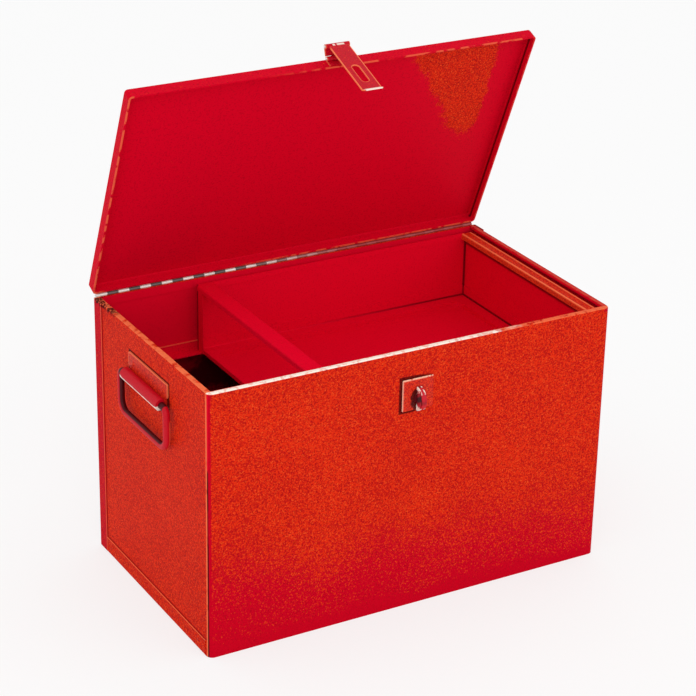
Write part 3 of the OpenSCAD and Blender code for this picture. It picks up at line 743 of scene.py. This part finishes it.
# %% Mix the handle plates' paint
PIVOT = joints["left_bail_swing"]["pos_m"]
BAIL_X, BAIL_Z = abs(PIVOT[X]), PIVOT[Z]
HANDLE_TOP = corner("left_handle_plate", HIGH)[Z]


def barrel_share(shop):
    """Smooth crimson on the barrel, painted as shade; lit orange grains on the flat plate."""
    return 0.05 + abs(shop.x).ramp(SIDE + 0.0035, SIDE + 0.0025) * 0.9


def handle_top(shop):
    """The plate's upper edge, rubbed light."""
    return shop.z.ramp(HANDLE_TOP - 0.0018, HANDLE_TOP - 0.001) * 0.7


def barrel_edge(shop):
    """The barrel's lower outer edge, bare and with a painted highlight, wider at each end where the rod comes out."""
    end = abs(shop.y).ramp(0.0490, 0.0545)
    worn = shop.noise(130, 3.0, 0.6) - 0.5
    under = (abs(shop.z - BAIL_Z + 0.0036) - end * 0.0016 + worn * 0.0022).ramp(0.0022, 0.0006)
    return under * abs(shop.x).ramp(SIDE + 0.0070, SIDE + 0.0085) * 0.85


handle_paint = enamel("handle_enamel", barrel_share, [
    (border("left_handle_plate", Y, 0.0018, 0.6), ROSE), (handle_top, ROSE), (barrel_edge, BARE_AND_HIGHLIGHT)],
    grain=0.5, gloss=0.15)

# %% [markdown]
# The bail is painted rod. It gets a rose painted highlight along the hoop's outer outline and black painted shade on
# its inner side. Unrolling a picture along the rod is the usual way. The hoop lies flat, though, as a rectangle with
# round corners, so the distance in from its outline tells the two sides apart in three lines.

# %% Mix the bails' paint
BAIL_BEND = 0.02175
BAIL_HALF, BAIL_LOW = corner("left_bail", HIGH)[Y], corner("left_bail", LOW)[Z]


def into_bail(shop):
    """How far a point of the bail lies in from the outline of its hoop, whose corners have radius BAIL_BEND."""
    across = (abs(shop.y) - (BAIL_HALF - BAIL_BEND)).most(0.0)
    down = (BAIL_LOW + BAIL_BEND - shop.z).most(0.0)
    return BAIL_BEND - distance(across, down)


def bail_inner(shop):
    """Painted shade on the inner side of the hoop."""
    return into_bail(shop).ramp(0.0068, 0.0086) * 0.9


def bail_outline(shop):
    """A painted highlight along the hoop's outer outline: the bar's underside, and the wall side of the two arms."""
    bar = shop.z.ramp(BAIL_LOW + 0.0019, BAIL_LOW + 0.0005)
    wall_side = abs(shop.x).ramp(BAIL_X - 0.0012, BAIL_X - 0.0030)
    arms = into_bail(shop).ramp(0.0034, 0.0016) * wall_side * shop.z.ramp(BAIL_Z - 0.014, BAIL_Z - 0.020)
    return bar.most(arms) * shop.noise(60).ramp(0.25, 0.5) * 0.7


bail_paint = enamel("bail_enamel", even(0.12), [
    (bail_inner, SHADE_AND_SOOT), (bail_outline, ROSE)], grain=0.3, gloss=0.2)

# %% [markdown]
# ## The tray and its rails
#
# The tray is folded from light-gauge sheet and sprayed lightly, so it is smooth crimson, with black painted shade in
# its folds, under its end cap and beside its posts.

# %% Mix the tray's paint
def tray_corners(shop):
    """Painted shade in the tray's folds: up its two far corners, along the end wall's foot and top, beside the posts.
    """
    left, floor = corner("tray_back_wall", LOW)[[X, Z]]
    right, back = corner("tray_end_wall", HIGH)[[X, Y]]
    by_end = shop.x.ramp(right - 0.0045, right - 0.0020)
    by_side = abs(shop.y).ramp(back - 0.0045, back - 0.0020)
    by_floor = shop.z.ramp(floor + 0.0045, floor + 0.0020)
    under_cap = shop.z.near(corner("tray_end_cap", LOW)[Z] - 0.0065, 0.0045)
    end_folds = by_end * by_side.most(by_floor).most(under_cap)
    far_fold = by_side * by_floor * shop.x.ramp(-0.05, 0.26)
    post = shop.x.ramp(left + 0.0014, left + 0.0010) * abs(shop.y).ramp(back - 0.0034, back - 0.0020)
    return end_folds.most(far_fold).most(post) * 0.75


tray_paint = enamel("tray_enamel", even(0.12), [(tray_corners, SHADE_AND_SOOT)], grain=0.5, pits=0.4, between_grains=INNER_CRIMSON)

# %% [markdown]
# The channel that caps the tray's end has more grains painted orange as lit, and a painted highlight along each
# bend. The rails that carry the tray get a painted highlight along their upper edge. They could share the tray's
# paint, but then its lines of painted shade would show on them wherever they cross the same place.

# %% Mix the paint of the cap and the rails
def cap_lines(shop):
    """Two painted highlights along the end cap's bends."""
    left, right = corner("tray_end_cap", LOW)[X], corner("tray_end_cap", HIGH)[X]
    return shop.x.near(left + 0.0015, 0.0019).most(shop.x.near(right - 0.0042, 0.0019)) * 0.95


def rail_edge(shop):
    """A painted highlight on the rails' upper edge."""
    top = corner("front_rail", HIGH)[Z]
    return shop.z.ramp(top - 0.0016, top - 0.001) * 0.35


cap_paint = enamel("cap_enamel", even(1.0), [(cap_lines, ROSE)], grain=0.4, between_grains=INNER_CRIMSON)
rail_paint = enamel("rail_enamel", even(0.1), [(rail_edge, ROSE)], grain=0.5, between_grains=INNER_CRIMSON)

# %% [markdown]
# ## Plated steel
#
# The hinge and the pins are zinc plated: a grey metal that reflects softly, dulled in cloudy patches. The hinge's
# knuckles are darkened, the lid leaf's much more, and towards the right they turn dark red as painted shade. Full
# metal would mirror the white room and look like chrome, so it is mixed with a quarter of plain grey.

# %% Plate the hinge and pins
DULL_ZINC, CLEAN_ZINC, TARNISH = srgb(214, 210, 202), srgb(250, 249, 244), srgb(122, 112, 104)
METALLIC = 0.75


def plating(name, knuckle_dark=0.0):
    """Zinc plating; with its second argument above 0 also tarnish, the hinge's knuckles darkened by that much, and
    dark red painted shade on them towards the right.
    """
    shop = Shop(name)
    cloud = shop.noise(60, 3.0, 0.6)
    colour = shop.mix(cloud, DULL_ZINC, CLEAN_ZINC)
    if knuckle_dark:
        knuckle = distance(shop.y - HINGE_Y, shop.z - HINGE_Z).ramp(0.0042, 0.0037)
        towards_right = shop.x.ramp(-0.10, 0.10)
        colour = shop.mix(shop.noise(24, 4.0, 0.6).ramp(0.48, 0.75) * 0.45, colour, TARNISH)
        colour = shop.mix(knuckle * (1 - towards_right * 0.55) * knuckle_dark, colour, SHADE_AND_SOOT)
        colour = shop.mix(knuckle * towards_right * 0.9, colour, DARK_CRIMSON)
    return shop.finish(base_color=colour, metallic=METALLIC, roughness=0.3 + cloud * 0.18,
                       normal=shop.bump(shop.noise(900, 1.0), 0.0001, 0.3))


plated = plating("zinc_plating")
body_leaf = plating("body_leaf_plating", knuckle_dark=0.06)
lid_leaf = plating("lid_leaf_plating", knuckle_dark=0.85)

# %% [markdown]
# ## Finishes and nodes
#
# Every node gets one finish. They could be given one by one, but a table shows at a glance that none is left out,
# and which pieces went through the spray booth together.

# %% Give every node its finish
FINISH = {
    body_paint: ["front_wrap", "back_panel", "bottom_pan"],
    lid_paint: ["lid_pan"],
    lock_paint: ["lock_plate", "lock_plate_rivets"],
    staple_paint: ["swivel_staple"],
    handle_paint: ["left_handle_plate", "right_handle_plate", "left_handle_rivets", "right_handle_rivets"],
    bail_paint: ["left_bail", "right_bail"],
    link_paint: ["hasp_leaf", "hasp_leaf_rivets", "hasp_link"],
    strap_paint: ["hasp_strap"],
    rail_paint: ["back_rail", "front_rail"],
    tray_paint: ["tray_floor", "tray_back_wall", "tray_front_wall", "tray_end_wall", "tray_grip_bar", "tray_rivets"],
    cap_paint: ["tray_end_cap"],
    body_leaf: ["hinge_body_leaf", "hinge_pin"],
    lid_leaf: ["hinge_lid_leaf"],
    plated: ["hasp_leaf_pin", "hasp_link_pin", "staple_washer"],
}
for material, names in FINISH.items():
    for name in names:
        nodes[name].data.materials.clear()
        nodes[name].data.materials.append(material)
print("finished nodes:", sum(len(names) for names in FINISH.values()), "of", len(nodes))

# %% [markdown]
# ## The floor
#
# The chest stands on white paper that runs out of the picture. Lit paper is never quite white, and a glowing sheet
# would light the chest from below and drown its shadow. So the camera sees the paper part of the way towards pure
# white, while the chest is lit by plain paper.

# %% Lay the floor
PAPER, WHITE = (0.93, 0.93, 0.93, 1), (1, 1, 1, 1)
FLOOR_HALF = 25.0


def sweep_paper(name, glow):
    """White paper that looks glow of the way to pure white in the picture, and lights the chest as plain paper."""
    shop = Shop(name)
    seen = shop.node("ShaderNodeLightPath", {}, {}, "Is Camera Ray")
    white = shop.node("ShaderNodeEmission", {}, {"Color": WHITE, "Strength": 1.0})
    paper = Value(shop, shop.shader.outputs[0])
    blend = shop.node("ShaderNodeMixShader", {}, {0: seen * glow, 1: paper, 2: white})
    shop.feed(shop.tree.nodes["Material Output"].inputs["Surface"], blend)
    return shop.finish(base_color=PAPER, roughness=0.9)


def floor_sheet():
    """A flat sheet 50 m square, just under the chest."""
    mesh = bpy.data.meshes.new("floor")
    corners = [(x * FLOOR_HALF, y * FLOOR_HALF, 0) for x, y in ((-1, -1), (1, -1), (1, 1), (-1, 1))]
    mesh.from_pydata(corners, [], [(0, 1, 2, 3)])
    mesh.materials.append(sweep_paper("floor_white", 0.7))
    return put("floor", mesh)


floor_sheet()
print("the floor is", FLOOR_HALF * 2, "m square")

# %% [markdown]
# ## The light
#
# The chest stands in a white room. Its light comes from everywhere, at the level at which a colour looks as it was
# mixed. The camera alone sees the room as pure white. Lamps alone would show as hot spots in the gloss.

# %% Light the white room
ROOM_LIGHT, ROOM_SEEN = 0.92, 1.0

world = bpy.data.worlds.new("studio")
bpy.context.scene.world = world
world.use_nodes = True
room = Wiring(world.node_tree)
background = room.tree.nodes["Background"]
seen = room.node("ShaderNodeLightPath", {}, {}, "Is Camera Ray")
room.feed(background.inputs["Color"], WHITE)
room.feed(background.inputs["Strength"], seen * (ROOM_SEEN - ROOM_LIGHT) + ROOM_LIGHT)
print("the room gives", ROOM_LIGHT, "and is seen as", ROOM_SEEN)

# %% [markdown]
# The room alone would light all faces alike. A broad lamp from the front left and a weaker one from the front
# right give the faces their difference and the chest its faint shadow. A small lamp would draw hard shadows, which
# the picture doesn't have. The view transform is Standard, because the others bend the reds.

# %% Hang the lamps
def lamp(name, place, aim, size, power):
    """A square lamp at place that faces the point aim."""
    data = bpy.data.lights.new(name, "AREA")
    data.shape, data.size, data.energy = "SQUARE", size, power
    made = put(name, data)
    made.location = place
    away = np.array(place) - np.array(aim)
    made.rotation_euler = (math.atan2(math.hypot(away[X], away[Y]), away[Z]), 0,
                           math.atan2(away[Y], away[X]) + math.pi / 2)
    print(name, "lamp:", power, "watts at", place)


lamp("key", place=(-1.5, -2.4, 2.2), aim=(0, 0, 0.3), size=1.6, power=13)
lamp("fill", place=(1.6, -2.6, 1.6), aim=(0, 0, 0.35), size=2.0, power=6)

bpy.context.scene.view_settings.view_transform = "Standard"

# %% [markdown]
# ## The size
#
# Paint has no thickness here, so the dressed chest must be exactly as large as the bare one.
